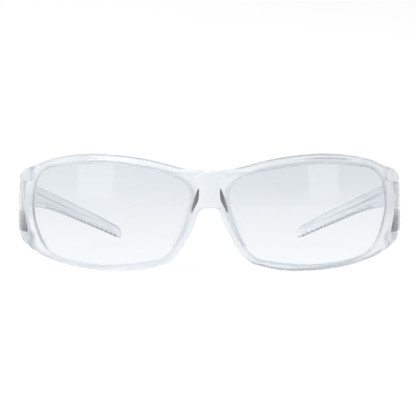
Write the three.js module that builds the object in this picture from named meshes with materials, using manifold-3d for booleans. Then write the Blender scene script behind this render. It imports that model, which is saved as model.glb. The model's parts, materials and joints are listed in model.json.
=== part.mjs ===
// Clear safety glasses. A curved front frame with a rolled brow holds two lenses in
// grooves. Soft nose pads sit behind the bridge. Each temple and the short side shield
// under its root fold together on two hinge pins held in the frame's corner lugs.
// Millimetres, +Z up. The wearer faces -Y, so the wearer's left is at +X.
import * as THREE from 'three';
import { mergeVertices } from 'three/addons/utils/BufferGeometryUtils.js';
import Module from 'manifold-3d';

const wasm = await Module();
wasm.setup();

// ---- Front: the surface that its face lies on -------------------------------------
const WRAP_RADIUS = 110;          // curvature of the face, seen from above
const FACE_TILT_RADIUS = 140;     // curvature of the face, seen from the side
const FACE_MIDDLE_Z = 22;
const LENS_CENTRE = [38, 22];     // x and z of the middle of one lens

// Half outlines as x and z, from the middle of the brow outwards and back to the nose.
const FRAME_OUTLINE = [
  [0, 37.0], [6.6, 37.4], [16.5, 39.8], [27, 42.1], [38.2, 43.3], [49.7, 43.1], [59.8, 41.4],
  [66, 39.0], [69.2, 35.8], [69.9, 30], [70, 21], [69.5, 13], [67.4, 7.0], [61.8, 4.0],
  [53.4, 1.7], [43, 0.3], [34.2, -0.25], [26, 0.5], [18.5, 2.2], [14.6, 3.7], [11.2, 7.2],
  [7.0, 14.2], [5.0, 18.6], [3.8, 21.7], [2.1, 23.2], [0, 23.4],
];
const LENS_OUTLINE = [
  [7.0, 28.2], [7.7, 31.0], [11.6, 34.2], [21.4, 37.1], [32.5, 38.6], [43.8, 39.3], [55.6, 38.4],
  [61.2, 37.4], [65.3, 33.5], [67.0, 24.0], [65.4, 15.4], [61.4, 7.8], [53.5, 4.0], [37.2, 2.4],
  [24, 3.6], [16.6, 5.6], [11.9, 11.5], [8.3, 20.7],
];
const STEPS_PER_SPAN = 2;         // mesh stations between two outline points
const BRIDGE_STATIONS = 4;        // mesh stations across the middle of the bridge
const SEAM_OVERLAP = 0.05;        // how far each frame half reaches past the middle

// Section of the rim, one point per row: share of the rim's width, offset in the
// width direction, and depth behind the face. The brow and bridge bulge differently.
const GROOVE_FRONT = 0.7;
const GROOVE_BACK = 3.4;
const GROOVE_DEPTH = 1.3;
const CLEARANCE = 0.3;
const RIM_SECTION = [
  [0, 0, GROOVE_FRONT], [0, 0, 0.4], [0, 0.4, 0], [0.45, 0, -0.05], [0.62, 0, -0.1],
  [1, -0.7, -0.05], [1, -0.2, 0.3], [1, 0, 1.0], [1, 0, 3.8], [1, -0.3, 4.5], [1, -0.8, 4.8],
  [0, 0.5, 4.8], [0, 0, 4.4], [0, 0, GROOVE_BACK], [0, GROOVE_DEPTH, GROOVE_BACK],
  [0, GROOVE_DEPTH, GROOVE_FRONT],
];
const BROW_SECTION = [
  [0, 0, GROOVE_FRONT], [0, 0, 0.4], [0, 0.4, 0], [0.45, 0, 0.3], [0.62, 0, -0.5],
  [1, -1.0, -1.6], [1, -0.3, -1.2], [1, 0, -0.3], [1, 0, 4.4], [1, -0.3, 5.2], [1, -0.8, 5.5],
  [0, 0.5, 5.0], [0, 0, 4.4], [0, 0, GROOVE_BACK], [0, GROOVE_DEPTH, GROOVE_BACK],
  [0, GROOVE_DEPTH, GROOVE_FRONT],
];
const BRIDGE_SECTION = [
  [0, 0, GROOVE_FRONT], [0, 0, 0.4], [0, 0.4, 0], [0.3, 0, 0.1], [0.5, 0, 0.1],
  [0.8, 0, 0.05], [1, 0, 0], [1, 0, 1.0], [1, 0, 3.8], [1, 0, 4.8], [0.8, 0, 4.8],
  [0, 0.5, 4.8], [0, 0, 4.4], [0, 0, GROOVE_BACK], [0, GROOVE_DEPTH, GROOVE_BACK],
  [0, GROOVE_DEPTH, GROOVE_FRONT],
];
const BRIDGE_FADE_OUT = [0, 3];   // x over which the bridge section turns into the rim's
const BROW_FADE_IN = [1, 12];     // x over which the brow roll rises beside the bridge
const BROW_FADE_OUT = [63, 69];   // x over which it runs out at the corner
const BROW_LOWEST_Z = 31;

// ---- Hinges -------------------------------------------------------------------------
const HINGE_X = 71.2;
const HINGE_Y = 30.6;
const PIN_RADIUS = 0.9;
const PIN_BORE_RADIUS = PIN_RADIUS + CLEARANCE;
const UPPER_LUG_BOTTOM = 32.7;
const LOWER_LUG_TOP = 13.3;
const UPPER_PIN_SPAN = [27.5, 36.6];
const LOWER_PIN_SPAN = [8.8, 19.2];
// Lugs in plan (x, y) and as seen from the front (x, z).
const LUG_PLAN = [
  [66.6, 25.2], [68.2, 22.9], [71.0, 24.2], [73.2, 27.2], [74.2, 30.8], [73.5, 34.0],
  [71.2, 35.0], [68.8, 34.0], [67.4, 31.2], [66.2, 28.2],
];
const UPPER_LUG_FRONT = [
  [62, UPPER_LUG_BOTTOM], [62, 40.8], [66, 39.0], [69.6, 37.4], [72.0, 36.4], [73.6, 35.0],
  [74.3, 33.4], [74.3, UPPER_LUG_BOTTOM],
];
const LOWER_LUG_FRONT = [
  [62, LOWER_LUG_TOP], [74.3, LOWER_LUG_TOP], [73.6, 11.2], [71.6, 8.6], [68.6, 6.2],
  [62, 3.9],
];

// ---- Temples ------------------------------------------------------------------------
const ROOT_BOTTOM = 21.7;
const ROOT_TOP = UPPER_LUG_BOTTOM - CLEARANCE;
// Temple root in plan (x, y): the hinge barrel, its front cover and the start of the arm.
const ROOT_PLAN = [
  [70.6, 27.0], [72.6, 27.5], [74.0, 30.4], [74.7, 34.0], [74.8, 38.0], [74.6, 41.0],
  [71.7, 41.0], [71.4, 37.0], [70.6, 33.8], [68.8, 32.2], [68.5, 30.0], [69.3, 28.0],
];
// Arm, one row per station: y, middle x, lowest z, highest z.
const ARM_STATIONS = [
  [37, 73.2, 21.7, 32.0], [60, 71.6, 21.2, 30.0], [90, 67.0, 17.8, 24.9], [120, 59.0, 11.2, 17.9],
  [140, 50.6, 5.1, 11.4], [155, 42.8, -1.4, 5.6],
];
const ARM_THICKNESS = 3.0;
const POCKET_DEPTH = 0.9;         // recess between the rails of the arm's inner face
const POCKET_SPAN = [52, 148];    // y between which the recess runs
const UPPER_RAIL = 1.5;
const LOWER_RAIL = 1.9;
const RIB_SPAN = [70, 148];       // y between which the lower rail is ribbed
const RIB_PITCH = 4.1;
const RIB_HEIGHT = 0.35;
const STATIONS_PER_RIB = 3;
const TIP_LENGTH = 3.2;           // length of the rounded end

// ---- Side shields ---------------------------------------------------------------------
const SHIELD_TOP = ROOT_BOTTOM - CLEARANCE;
const SHIELD_BOTTOM = LOWER_LUG_TOP + CLEARANCE;
const SHIELD_PLAN = [
  [70.6, 27.0], [72.7, 27.4], [74.2, 30.4], [74.9, 34.0], [74.9, 40.0], [74.3, 48.0],
  [71.9, 48.0], [71.9, 40.0], [70.6, 34.0], [68.8, 32.2], [68.5, 30.0], [69.3, 28.0],
];
// Shield seen from the side (y, z): its lower edge sweeps up to the arm.
const SHIELD_SIDE = [
  [26, SHIELD_BOTTOM], [34.5, SHIELD_BOTTOM], [38.5, 15.2], [42.5, 18.6], [47.2, SHIELD_TOP],
  [26, SHIELD_TOP],
];
const TONGUE = { x: 73.0, y: 37.5, width: 1.0, length: 7, height: 1.6 };

// ---- Nose pads ------------------------------------------------------------------------
// Path of the pad's middle along the nose, as x and z.
const PAD_PATH = [
  [4.0, 30.0], [4.5, 26.4], [5.6, 22.6], [7.4, 18.2], [9.9, 13.0], [12.6, 9.0],
];
const PAD_THICKNESS = 1.8;
const PAD_FRONT_DEPTH = 5.2;      // how far behind the face the pad starts
const PAD_REACH = 6.5;            // how far back it reaches in its middle
const PAD_FLARE = 2.2;            // how far its rear edge leans away from the nose
const PAD_STATIONS = 12;
const PAD_PATH_STEPS = 4;
// The pad's tongue sits in a slot beside the bridge panel, along the top of the path.
const PAD_TONGUE_DEPTH = 2.9;     // how far behind the face the tongue starts
const PAD_TONGUE_HALF_WIDTH = 0.65;
const PAD_TONGUE_POINTS = 9;      // how many points of the smoothed path it spans

// ---- Materials --------------------------------------------------------------------------
const MATERIALS = {
  frame: { color: 0xdfe6ea, roughness: 0.12, metalness: 0, transparent: true, opacity: 0.55 },
  lens: { color: 0xe3ebef, roughness: 0.03, metalness: 0, transparent: true, opacity: 0.3 },
  pad: { color: 0xe6ecef, roughness: 0.35, metalness: 0, transparent: true, opacity: 0.6 },
  steel: { color: 0x9a9da0, roughness: 0.3, metalness: 1 },
};

// ---- Geometry helpers -------------------------------------------------------------------

/** Smooth step from 0 to 1 between the two numbers of a span. */
function ramp(span, value) {
  return THREE.MathUtils.smoothstep(value, span[0], span[1]);
}

/** Points of a smooth curve through [a, b] pairs, with some steps in each span. */
function smoothPoints(pairs, closed, stepsPerSpan) {
  const points = pairs.map(([a, b]) => new THREE.Vector3(a, b, 0));
  const curve = new THREE.CatmullRomCurve3(points, closed, 'centripetal');
  const spans = closed ? pairs.length : pairs.length - 1;
  const sampled = curve.getPoints(spans * stepsPerSpan).map((p) => [p.x, p.y]);
  return closed ? sampled.slice(0, -1) : sampled;
}

/** Point on the face, or at some depth behind it along the face's normal. */
function onFace(x, z, depth) {
  const wrap = Math.sqrt(WRAP_RADIUS ** 2 - x ** 2);
  const rise = z - FACE_MIDDLE_Z;
  const y = WRAP_RADIUS - wrap + rise ** 2 / (2 * FACE_TILT_RADIUS);
  const normal = new THREE.Vector3(-x / wrap, 1, -rise / FACE_TILT_RADIUS).normalize();
  return new THREE.Vector3(x, y, z).addScaledVector(normal, depth);
}

/** Distance from the lens centre to a closed outline along one direction. */
function reachAlong(outline, angle) {
  const [cx, cz] = LENS_CENTRE;
  const direction = [Math.cos(angle), Math.sin(angle)];
  let reach = 0;
  outline.forEach(([ax, az], i) => {
    const [bx, bz] = outline[(i + 1) % outline.length];
    const edge = [bx - ax, bz - az];
    const cross = direction[0] * edge[1] - direction[1] * edge[0];
    const along = ((ax - cx) * edge[1] - (az - cz) * edge[0]) / cross;
    const share = ((ax - cx) * direction[1] - (az - cz) * direction[0]) / cross;
    if (share >= 0 && share <= 1 && along > reach) {
      reach = along;
    }
  });
  return reach;
}

/** Six times the signed volume of a triangle mesh, positive when faces point out. */
function signedVolume(positions, indices) {
  const corner = (i) => new THREE.Vector3().fromArray(positions, indices[i] * 3);
  let total = 0;
  for (let i = 0; i < indices.length; i += 3) {
    total += corner(i).dot(corner(i + 1).cross(corner(i + 2)));
  }
  return total;
}

/** Geometry from flat positions and indices, turned so that its faces point out. */
function closedGeometry(positions, indices) {
  if (signedVolume(positions, indices) < 0) {
    indices.reverse();
  }
  const geometry = new THREE.BufferGeometry();
  geometry.setAttribute('position', new THREE.Float32BufferAttribute(positions, 3));
  geometry.setIndex(indices);
  return geometry;
}

/** Skin over rings of equal point counts: a closed loop, or an open run with end caps. */
function loft(rings, isLoop) {
  const size = rings[0].length;
  const positions = rings.flat().flatMap((p) => [p.x, p.y, p.z]);
  const indices = [];
  const ringCount = isLoop ? rings.length : rings.length - 1;
  for (let r = 0; r < ringCount; r += 1) {
    const next = (r + 1) % rings.length;
    for (let i = 0; i < size; i += 1) {
      const j = (i + 1) % size;
      const [a, b, c, d] = [r * size + i, r * size + j, next * size + j, next * size + i];
      indices.push(a, b, c, a, c, d);
    }
  }
  if (!isLoop) {
    addCap(rings[0], 0, positions, indices, true);
    addCap(rings.at(-1), (rings.length - 1) * size, positions, indices, false);
  }
  return closedGeometry(positions, indices);
}

/** Fan that closes one end ring about its middle. */
function addCap(ring, offset, positions, indices, isStart) {
  const middle = new THREE.Vector3();
  ring.forEach((p) => middle.addScaledVector(p, 1 / ring.length));
  const hub = positions.length / 3;
  positions.push(middle.x, middle.y, middle.z);
  ring.forEach((_, i) => {
    const a = offset + i;
    const b = offset + ((i + 1) % ring.length);
    indices.push(...(isStart ? [hub, b, a] : [hub, a, b]));
  });
}

/** Manifold solid of a closed three.js geometry. */
function toSolid(geometry) {
  const bare = geometry.clone();
  bare.deleteAttribute('normal');
  bare.deleteAttribute('uv');
  const merged = mergeVertices(bare, 1e-5);
  const vertProperties = new Float32Array(merged.attributes.position.array);
  const triVerts = new Uint32Array(merged.index.array);
  return new wasm.Manifold(new wasm.Mesh({ numProp: 3, vertProperties, triVerts }));
}

/** Three.js geometry of a manifold solid. */
function toGeometry(solid) {
  const { vertProperties, triVerts } = solid.getMesh();
  const geometry = new THREE.BufferGeometry();
  geometry.setAttribute('position', new THREE.BufferAttribute(vertProperties, 3));
  geometry.setIndex(new THREE.BufferAttribute(triVerts, 1));
  return geometry;
}

/** Upright prism of a smooth plan outline (x, y) between two heights. */
function planPrism(plan, bottom, top) {
  const shape = new THREE.Shape(smoothPoints(plan, true, 3).map(([x, y]) => new THREE.Vector2(x, y)));
  const geometry = new THREE.ExtrudeGeometry(shape, { depth: top - bottom, bevelEnabled: false });
  return toSolid(geometry.translate(0, 0, bottom));
}

/** Prism of an outline seen from the front (x, z), running through in depth. */
function frontPrism(outline, reach) {
  const shape = new THREE.Shape(outline.map(([x, z]) => new THREE.Vector2(x, z)));
  const geometry = new THREE.ExtrudeGeometry(shape, { depth: reach, bevelEnabled: false });
  return toSolid(geometry.rotateX(Math.PI / 2).translate(0, reach, 0));
}

/** Prism of an outline seen from the side (y, z), running through in width. */
function sidePrism(outline, reach) {
  const shape = new THREE.Shape(outline.map(([y, z]) => new THREE.Vector2(y, z)));
  const geometry = new THREE.ExtrudeGeometry(shape, { depth: reach, bevelEnabled: false });
  return toSolid(geometry.rotateX(Math.PI / 2).rotateZ(Math.PI / 2));
}

/** Upright cylinder on the hinge axis. */
function hingeCylinder(radius, span) {
  const height = span[1] - span[0];
  const geometry = new THREE.CylinderGeometry(radius, radius, height, 20).rotateX(Math.PI / 2);
  return geometry.translate(HINGE_X, HINGE_Y, (span[0] + span[1]) / 2);
}

/** Box by its centre and size. */
function boxSolid(centre, size) {
  return toSolid(new THREE.BoxGeometry(...size).translate(...centre));
}

/** The same shape on the other side of the middle plane. */
function mirrored(geometry) {
  const flipped = geometry.clone().scale(-1, 1, 1);
  const index = Array.from(flipped.index.array).reverse();
  flipped.setIndex(index);
  return flipped;
}

/** Everything under the table top that the glasses stand on. */
const belowTable = boxSolid([0, 0, -5], [400, 400, 10]);

// ---- Front frame ------------------------------------------------------------------------

const lensOutline = smoothPoints(LENS_OUTLINE, true, 8);

/** Stations round one rim: the outer point, its direction and the lens edge's reach. */
function rimStations() {
  const round = smoothPoints(FRAME_OUTLINE, false, STEPS_PER_SPAN);
  const [top, bottom] = [FRAME_OUTLINE[0][1], FRAME_OUTLINE.at(-1)[1]];
  round[0][0] = -SEAM_OVERLAP;
  round[round.length - 1][0] = -SEAM_OVERLAP;
  for (let i = 1; i <= BRIDGE_STATIONS; i += 1) {
    const z = bottom + ((top - bottom) * i) / (BRIDGE_STATIONS + 1);
    round.push([-SEAM_OVERLAP, z]);
  }
  return round.map(([x, z]) => {
    const [dx, dz] = [x - LENS_CENTRE[0], z - LENS_CENTRE[1]];
    const angle = Math.atan2(dz, dx);
    return { x, z, angle, outer: Math.hypot(dx, dz), inner: reachAlong(lensOutline, angle) };
  });
}

const stations = rimStations();

/** How much of the brow roll there is at a point of the outline. */
function browShare(x, z) {
  if (z < BROW_LOWEST_Z) {
    return 0;
  }
  return ramp(BROW_FADE_IN, x) * (1 - ramp(BROW_FADE_OUT, x));
}

/** Closed ring of the rim's section at one station. */
function rimRing(station) {
  const brow = browShare(station.x, station.z);
  const bridge = 1 - ramp(BRIDGE_FADE_OUT, station.x);
  const width = station.outer - station.inner;
  return RIM_SECTION.map((rim, i) => {
    const [share, offset, depth] = rim.map((value, k) => {
      const rolled = THREE.MathUtils.lerp(value, BROW_SECTION[i][k], brow);
      return THREE.MathUtils.lerp(rolled, BRIDGE_SECTION[i][k], bridge);
    });
    const reach = station.inner + share * width + offset;
    const x = LENS_CENTRE[0] + reach * Math.cos(station.angle);
    const z = LENS_CENTRE[1] + reach * Math.sin(station.angle);
    return onFace(x, z, depth);
  });
}

/** Corner lug: its plan outline cut to its front outline, with the pin's bore. */
function lug(frontOutline, bottom, top, boreSpan) {
  const block = planPrism(LUG_PLAN, bottom, top).intersect(frontPrism(frontOutline, 60));
  return block.subtract(toSolid(hingeCylinder(PIN_BORE_RADIUS, boreSpan)));
}

/** Whole front frame, with the flat lands that it rests on. */
function frontFrameGeometry() {
  const rim = loft(stations.map(rimRing), true);
  const upperLug = lug(UPPER_LUG_FRONT, UPPER_LUG_BOTTOM, 42, [UPPER_LUG_BOTTOM - 1, 45]);
  const lowerLug = lug(LOWER_LUG_FRONT, 2, LOWER_LUG_TOP, [0, LOWER_LUG_TOP + 1]);
  const lensPath = toSolid(loft(lensRings(GROOVE_DEPTH, GROOVE_FRONT, GROOVE_BACK), false));
  const rimWithLugs = toSolid(rim).add(upperLug.add(lowerLug).subtract(lensPath));
  const half = rimWithLugs.subtract(padTongue(CLEARANCE));
  const other = toSolid(mirrored(toGeometry(half)));
  return toGeometry(half.add(other).subtract(belowTable));
}

// ---- Lenses -------------------------------------------------------------------------------

/** Rings of a curved lens slab whose edge lies some distance inside the groove. */
function lensRings(edge, front, back) {
  const ring = (share, depth) => stations.map(({ angle, inner }) => {
    const reach = (inner + edge) * share;
    const x = LENS_CENTRE[0] + reach * Math.cos(angle);
    const z = LENS_CENTRE[1] + reach * Math.sin(angle);
    return onFace(x, z, depth);
  });
  const shares = [0.2, 0.6, 1];
  return [
    ...shares.map((share) => ring(share, front)),
    ...shares.toReversed().map((share) => ring(share, back)),
  ];
}

/** Lens held in the groove with clearance all round. */
function lensGeometry() {
  const rings = lensRings(GROOVE_DEPTH - CLEARANCE, GROOVE_FRONT + CLEARANCE, GROOVE_BACK - CLEARANCE);
  return loft(rings, false);
}

// ---- Nose pads ------------------------------------------------------------------------------

/** Tongue on the pad's front, or its slot in the bridge when given some clearance. */
function padTongue(clearance) {
  const path = smoothPoints(PAD_PATH, false, PAD_PATH_STEPS).slice(0, PAD_TONGUE_POINTS);
  const rings = path.map(([x, z], i) => {
    const swell = Math.sin(Math.PI * (0.1 + (0.8 * i) / (path.length - 1)));
    const half = PAD_TONGUE_HALF_WIDTH * swell + clearance;
    const front = onFace(x, z, PAD_TONGUE_DEPTH - clearance).y;
    const back = onFace(x, z, PAD_FRONT_DEPTH + 1).y;
    const level = z + clearance * (1 - (2 * i) / (path.length - 1));
    return [
      new THREE.Vector3(x - half, front, level), new THREE.Vector3(x + half, front, level),
      new THREE.Vector3(x + half, back, level), new THREE.Vector3(x - half, back, level),
    ];
  });
  return toSolid(loft(rings, false));
}

/** Soft pad: a blade along the nose that leans outwards towards its rear edge. */
function nosePadGeometry() {
  const path = smoothPoints(PAD_PATH, false, PAD_PATH_STEPS);
  const rings = [];
  for (let i = 0; i <= PAD_STATIONS; i += 1) {
    const share = i / PAD_STATIONS;
    const [x, z] = path[Math.round(share * (path.length - 1))];
    const reach = PAD_REACH * (0.35 + 0.65 * Math.sin(Math.PI * share));
    const half = (PAD_THICKNESS / 2) * (0.5 + 0.5 * Math.sin(Math.PI * share) ** 0.5);
    const front = onFace(x, z, PAD_FRONT_DEPTH).y;
    const lean = PAD_FLARE * (reach / PAD_REACH);
    rings.push([
      new THREE.Vector3(x - half, front, z),
      new THREE.Vector3(x + half, front, z),
      new THREE.Vector3(x + half + lean / 2, front + reach / 2, z),
      new THREE.Vector3(x + half + lean, front + reach * 0.9, z),
      new THREE.Vector3(x + lean, front + reach, z),
      new THREE.Vector3(x - half + lean, front + reach * 0.9, z),
      new THREE.Vector3(x - half + lean / 2, front + reach / 2, z),
    ]);
  }
  return toGeometry(toSolid(loft(rings, false)).add(padTongue(0)));
}

// ---- Temples ---------------------------------------------------------------------------------

const armPath = ['x', 'bottom', 'top'].map((_, k) => {
  return smoothPoints(ARM_STATIONS.map((row) => [row[0], row[k + 1]]), false, 24);
});

/** Value of one of the arm's curves at a depth y. */
function armValue(curve, y) {
  const last = curve.length - 1;
  const next = Math.min(last, Math.max(1, curve.findIndex(([cy]) => cy >= y)));
  const [[y0, v0], [y1, v1]] = [curve[next - 1], curve[next]];
  return v0 + ((v1 - v0) * (y - y0)) / (y1 - y0);
}

/** Depths of the arm's mesh stations: wide steps, then fine ones along the ribs. */
function armDepths(endY) {
  const depths = [37, 43, 49, 52, 55, 60, 65];
  const [start, end] = RIB_SPAN;
  for (let y = start; y <= end; y += RIB_PITCH / STATIONS_PER_RIB) {
    depths.push(y);
  }
  for (const share of [0, 0.5, 0.8, 0.95]) {
    depths.push(endY - TIP_LENGTH * (1 - share));
  }
  return depths;
}

/** Closed ring of the arm's section: outer face, then rails and pocket inside. */
function armRing(y, endY) {
  const [x, bottom, top] = armPath.map((curve) => armValue(curve, y));
  const [aheadX] = armPath.map((curve) => armValue(curve, y + 0.5));
  const across = new THREE.Vector2(1, -(aheadX - x) / 0.5).normalize();
  const intoTip = Math.max(0, y - (endY - TIP_LENGTH)) / TIP_LENGTH;
  const round = Math.sqrt(1 - intoTip ** 2);
  const middle = (bottom + top) / 2;
  const half = (ARM_THICKNESS / 2) * (0.35 + 0.65 * round);
  const pocket = POCKET_DEPTH * ramp([POCKET_SPAN[0], POCKET_SPAN[0] + 3], y)
    * (1 - ramp([POCKET_SPAN[1] - 3, POCKET_SPAN[1]], y));
  const isRibbed = y >= RIB_SPAN[0] && y <= RIB_SPAN[1];
  const wave = 0.5 - 0.5 * Math.cos((2 * Math.PI * (y - RIB_SPAN[0])) / RIB_PITCH);
  const rib = isRibbed ? RIB_HEIGHT * wave : 0;
  const section = [
    [half, bottom + 0.8], [half + 0.2, middle], [half, top - 0.8], [half - 0.8, top],
    [-half + 0.6, top], [-half, top - 0.6], [-half, top - UPPER_RAIL],
    [-half + pocket, top - UPPER_RAIL - 0.4], [-half + pocket, bottom + LOWER_RAIL + 0.4],
    [-half - rib, bottom + LOWER_RAIL], [-half - rib, bottom + 0.6], [-half + 0.6, bottom],
    [half - 0.8, bottom],
  ];
  return section.map(([offset, z]) => {
    const height = middle + (z - middle) * round;
    return new THREE.Vector3(x + across.x * offset, y + across.y * offset, height);
  });
}

/** Temple: the arm and its root, with the upper pin's bore and the shield's slot. */
function templeGeometry() {
  const endY = ARM_STATIONS.at(-1)[0];
  const arm = toSolid(loft(armDepths(endY).map((y) => armRing(y, endY)), false));
  const root = planPrism(ROOT_PLAN, ROOT_BOTTOM, ROOT_TOP);
  const bore = toSolid(hingeCylinder(PIN_BORE_RADIUS, [UPPER_PIN_SPAN[0] - CLEARANCE, ROOT_TOP + 1]));
  const { x, y, width, length, height } = TONGUE;
  const slotSize = [width + 2 * CLEARANCE, length + 2 * CLEARANCE, 2 * height + 2 * CLEARANCE];
  const slot = boxSolid([x, y, ROOT_BOTTOM], slotSize);
  return toGeometry(root.add(arm).subtract(bore).subtract(slot).subtract(belowTable));
}

/** Side shield: the tapering plate under the temple root, on the lower pin. */
function sideShieldGeometry() {
  const plate = planPrism(SHIELD_PLAN, SHIELD_BOTTOM, SHIELD_TOP).intersect(sidePrism(SHIELD_SIDE, 100));
  const bore = toSolid(hingeCylinder(PIN_BORE_RADIUS, [SHIELD_BOTTOM - 1, LOWER_PIN_SPAN[1] + CLEARANCE]));
  const { x, y, width, length, height } = TONGUE;
  const tongue = boxSolid([x, y, SHIELD_TOP], [width, length, 2 * height]);
  return toGeometry(plate.subtract(bore).add(tongue));
}

// ---- Assembly ----------------------------------------------------------------------------------

const glasses = new THREE.Group();

/** Adds a named mesh with a material of its own. */
function addMesh(name, geometry, finish) {
  const mesh = new THREE.Mesh(geometry, new THREE.MeshStandardMaterial(MATERIALS[finish]));
  mesh.name = name;
  glasses.add(mesh);
}

/** Adds a piece on the wearer's left and its mirror image on the right. */
function addPair(name, geometry, finish) {
  addMesh(`left_${name}`, geometry, finish);
  addMesh(`right_${name}`, mirrored(geometry), finish);
}

addMesh('front_frame', frontFrameGeometry(), 'frame');
addPair('lens', lensGeometry(), 'lens');
addPair('nose_pad', nosePadGeometry(), 'pad');
addPair('temple', templeGeometry(), 'frame');
addPair('side_shield', sideShieldGeometry(), 'frame');
addPair('upper_hinge_pin', hingeCylinder(PIN_RADIUS, UPPER_PIN_SPAN), 'steel');
addPair('lower_hinge_pin', hingeCylinder(PIN_RADIUS, LOWER_PIN_SPAN), 'steel');

// The origin is at the middle of the glasses' footprint.
const extent = new THREE.Box3().setFromObject(glasses);
glasses.position.y = -(extent.min.y + extent.max.y) / 2;

export default glasses;
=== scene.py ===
# Clear safety glasses: fine meshes, materials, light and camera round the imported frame.
# Shapes are worked out in millimetres in the front's own coordinates (y = 0 at the bridge)
# and moved into the frame when a mesh is made.
import json
import math

import bmesh
import bpy
import numpy as np
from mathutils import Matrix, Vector


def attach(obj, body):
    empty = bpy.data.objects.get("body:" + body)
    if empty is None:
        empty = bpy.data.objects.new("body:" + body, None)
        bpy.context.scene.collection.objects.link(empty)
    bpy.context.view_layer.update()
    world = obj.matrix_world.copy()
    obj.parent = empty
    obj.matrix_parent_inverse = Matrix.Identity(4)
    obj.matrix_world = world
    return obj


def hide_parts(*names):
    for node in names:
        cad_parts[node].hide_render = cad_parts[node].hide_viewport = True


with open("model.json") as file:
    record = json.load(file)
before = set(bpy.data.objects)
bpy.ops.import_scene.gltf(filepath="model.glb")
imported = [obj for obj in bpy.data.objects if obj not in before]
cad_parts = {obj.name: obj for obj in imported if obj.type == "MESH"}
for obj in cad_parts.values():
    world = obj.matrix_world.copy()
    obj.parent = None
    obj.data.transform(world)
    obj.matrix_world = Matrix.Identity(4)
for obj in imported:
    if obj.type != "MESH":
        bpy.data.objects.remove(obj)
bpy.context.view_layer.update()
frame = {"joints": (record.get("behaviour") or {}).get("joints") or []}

MM = 0.001

# ---- Driving sizes, in millimetres ------------------------------------------------------
WRAP_RADIUS = 110                # curvature of the face, seen from above
FACE_TILT_RADIUS = 140           # curvature of the face, seen from the side
FACE_MIDDLE_Z = 22
LENS_CENTRE = np.array([38.0, 22.0])
SHARP_ANGLE = 35                 # edges sharper than this many degrees stay sharp

# Half outlines as x and z, from the middle of the brow outwards and back to the nose.
FRAME_OUTLINE = [
    (0, 37.0), (6.6, 37.4), (16.5, 39.8), (27, 42.1), (38.2, 43.3), (49.7, 43.1), (59.8, 41.4),
    (66, 39.0), (69.2, 35.8), (70.4, 30.5), (70.9, 24), (70.4, 18), (69.2, 12.3), (67.2, 7.0),
    (61.8, 4.0), (53.4, 1.7), (43, 0.3), (34.2, 0.0), (26, 0.5), (18.5, 2.2), (14.6, 3.7), (11.2, 7.2),
    (7.0, 14.2), (5.0, 18.6), (3.8, 21.7), (2.1, 23.2), (0, 23.4),
]
LENS_OUTLINE = [
    (7.0, 28.2), (7.7, 31.0), (11.6, 34.2), (21.4, 37.1), (32.5, 38.6), (43.8, 39.3),
    (55.6, 38.4), (61.2, 37.4), (65.3, 33.5), (67.0, 24.0), (65.4, 15.4), (61.4, 7.8),
    (53.5, 4.0), (37.2, 2.4), (24, 3.6), (16.6, 5.6), (11.9, 11.5), (8.3, 20.7),
]
LENS_FRONT = 0.6                 # depth of the lens's front face behind the frame's
LENS_BACK = 2.4
LENS_EDGE = 1.0                  # how far the lens reaches into the groove
SEAT_GAP = 0.05
GROOVE_FRONT = LENS_FRONT - SEAT_GAP
GROOVE_BACK = LENS_BACK + SEAT_GAP
GROOVE_DEPTH = LENS_EDGE + SEAT_GAP

HINGE_X = 71.2
HINGE_Y = 30.6
HINGE_JOINT = next(j for j in frame["joints"] if j["name"] == "left_temple_fold")
DEPTH_SHIFT = HINGE_JOINT["pos_m"][1] / MM - HINGE_Y
UPPER_LUG_BOTTOM = 32.7
LOWER_LUG_TOP = 13.3
PIN_RADIUS = 0.9
BORE_RADIUS = 1.0
PEG_SEGMENTS = 48

# Sections of the front, as rows of (share of the rim's width, offset across it, depth behind
# the face). All have the same rows: first the groove, then the face, the outer wall and the back.
GROOVE = [
    (0, 0.9, 4.3), (0, 0.75, GROOVE_BACK + 0.12), (0, 0.85, GROOVE_BACK),
    (0, GROOVE_DEPTH - 0.1, GROOVE_BACK), (0, GROOVE_DEPTH, GROOVE_BACK - 0.1),
    (0, GROOVE_DEPTH, GROOVE_FRONT + 0.1), (0, GROOVE_DEPTH - 0.1, GROOVE_FRONT),
    (0, 0.12, GROOVE_FRONT), (0, 0, GROOVE_FRONT - 0.1), (0, 0, 0.25), (0, 0.06, 0.07),
]
RIM_SECTION = GROOVE + [
    (0, 0.3, 0), (0.35, 0, 0.0), (0.6, 0, -0.05), (1, -0.5, -0.05), (1, -0.12, 0.05),
    (1, 0, 0.4), (1, 0, 2.4), (1, 0, 4.0), (1, -0.25, 4.6), (1, -0.8, 4.8), (0.5, 0, 4.8),
    (0, 0.9, 4.8), (0, 0.6, 4.65),
]
BROW_SECTION = GROOVE + [
    (0, 0.45, 0.0), (0, 0.75, 0.4), (0.28, 0, -0.7), (0.46, 0, -0.85), (1, -1.5, 0.5),
    (1, -0.5, 0.0), (1, 0, 0.35), (1, 0, 4.3), (1, -0.25, 5.2), (1, -0.8, 5.5),
    (0.5, 0, 5.2), (0, 0.9, 4.8), (0, 0.6, 4.65),
]
BRIDGE_MIDDLE = GROOVE + [
    (0, 0.5, 0), (0.25, 0, 0.45), (0.42, 0, 0.9), (0.53, 0, -0.1), (0.75, 0, -0.25),
    (1, 0, -0.3), (1, 0, 0.7), (1, 0, 4.0), (1, 0, 4.8), (0.75, 0, 4.8), (0.5, 0, 4.8),
    (0, 0.9, 4.8), (0, 0.6, 4.65),
]
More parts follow.
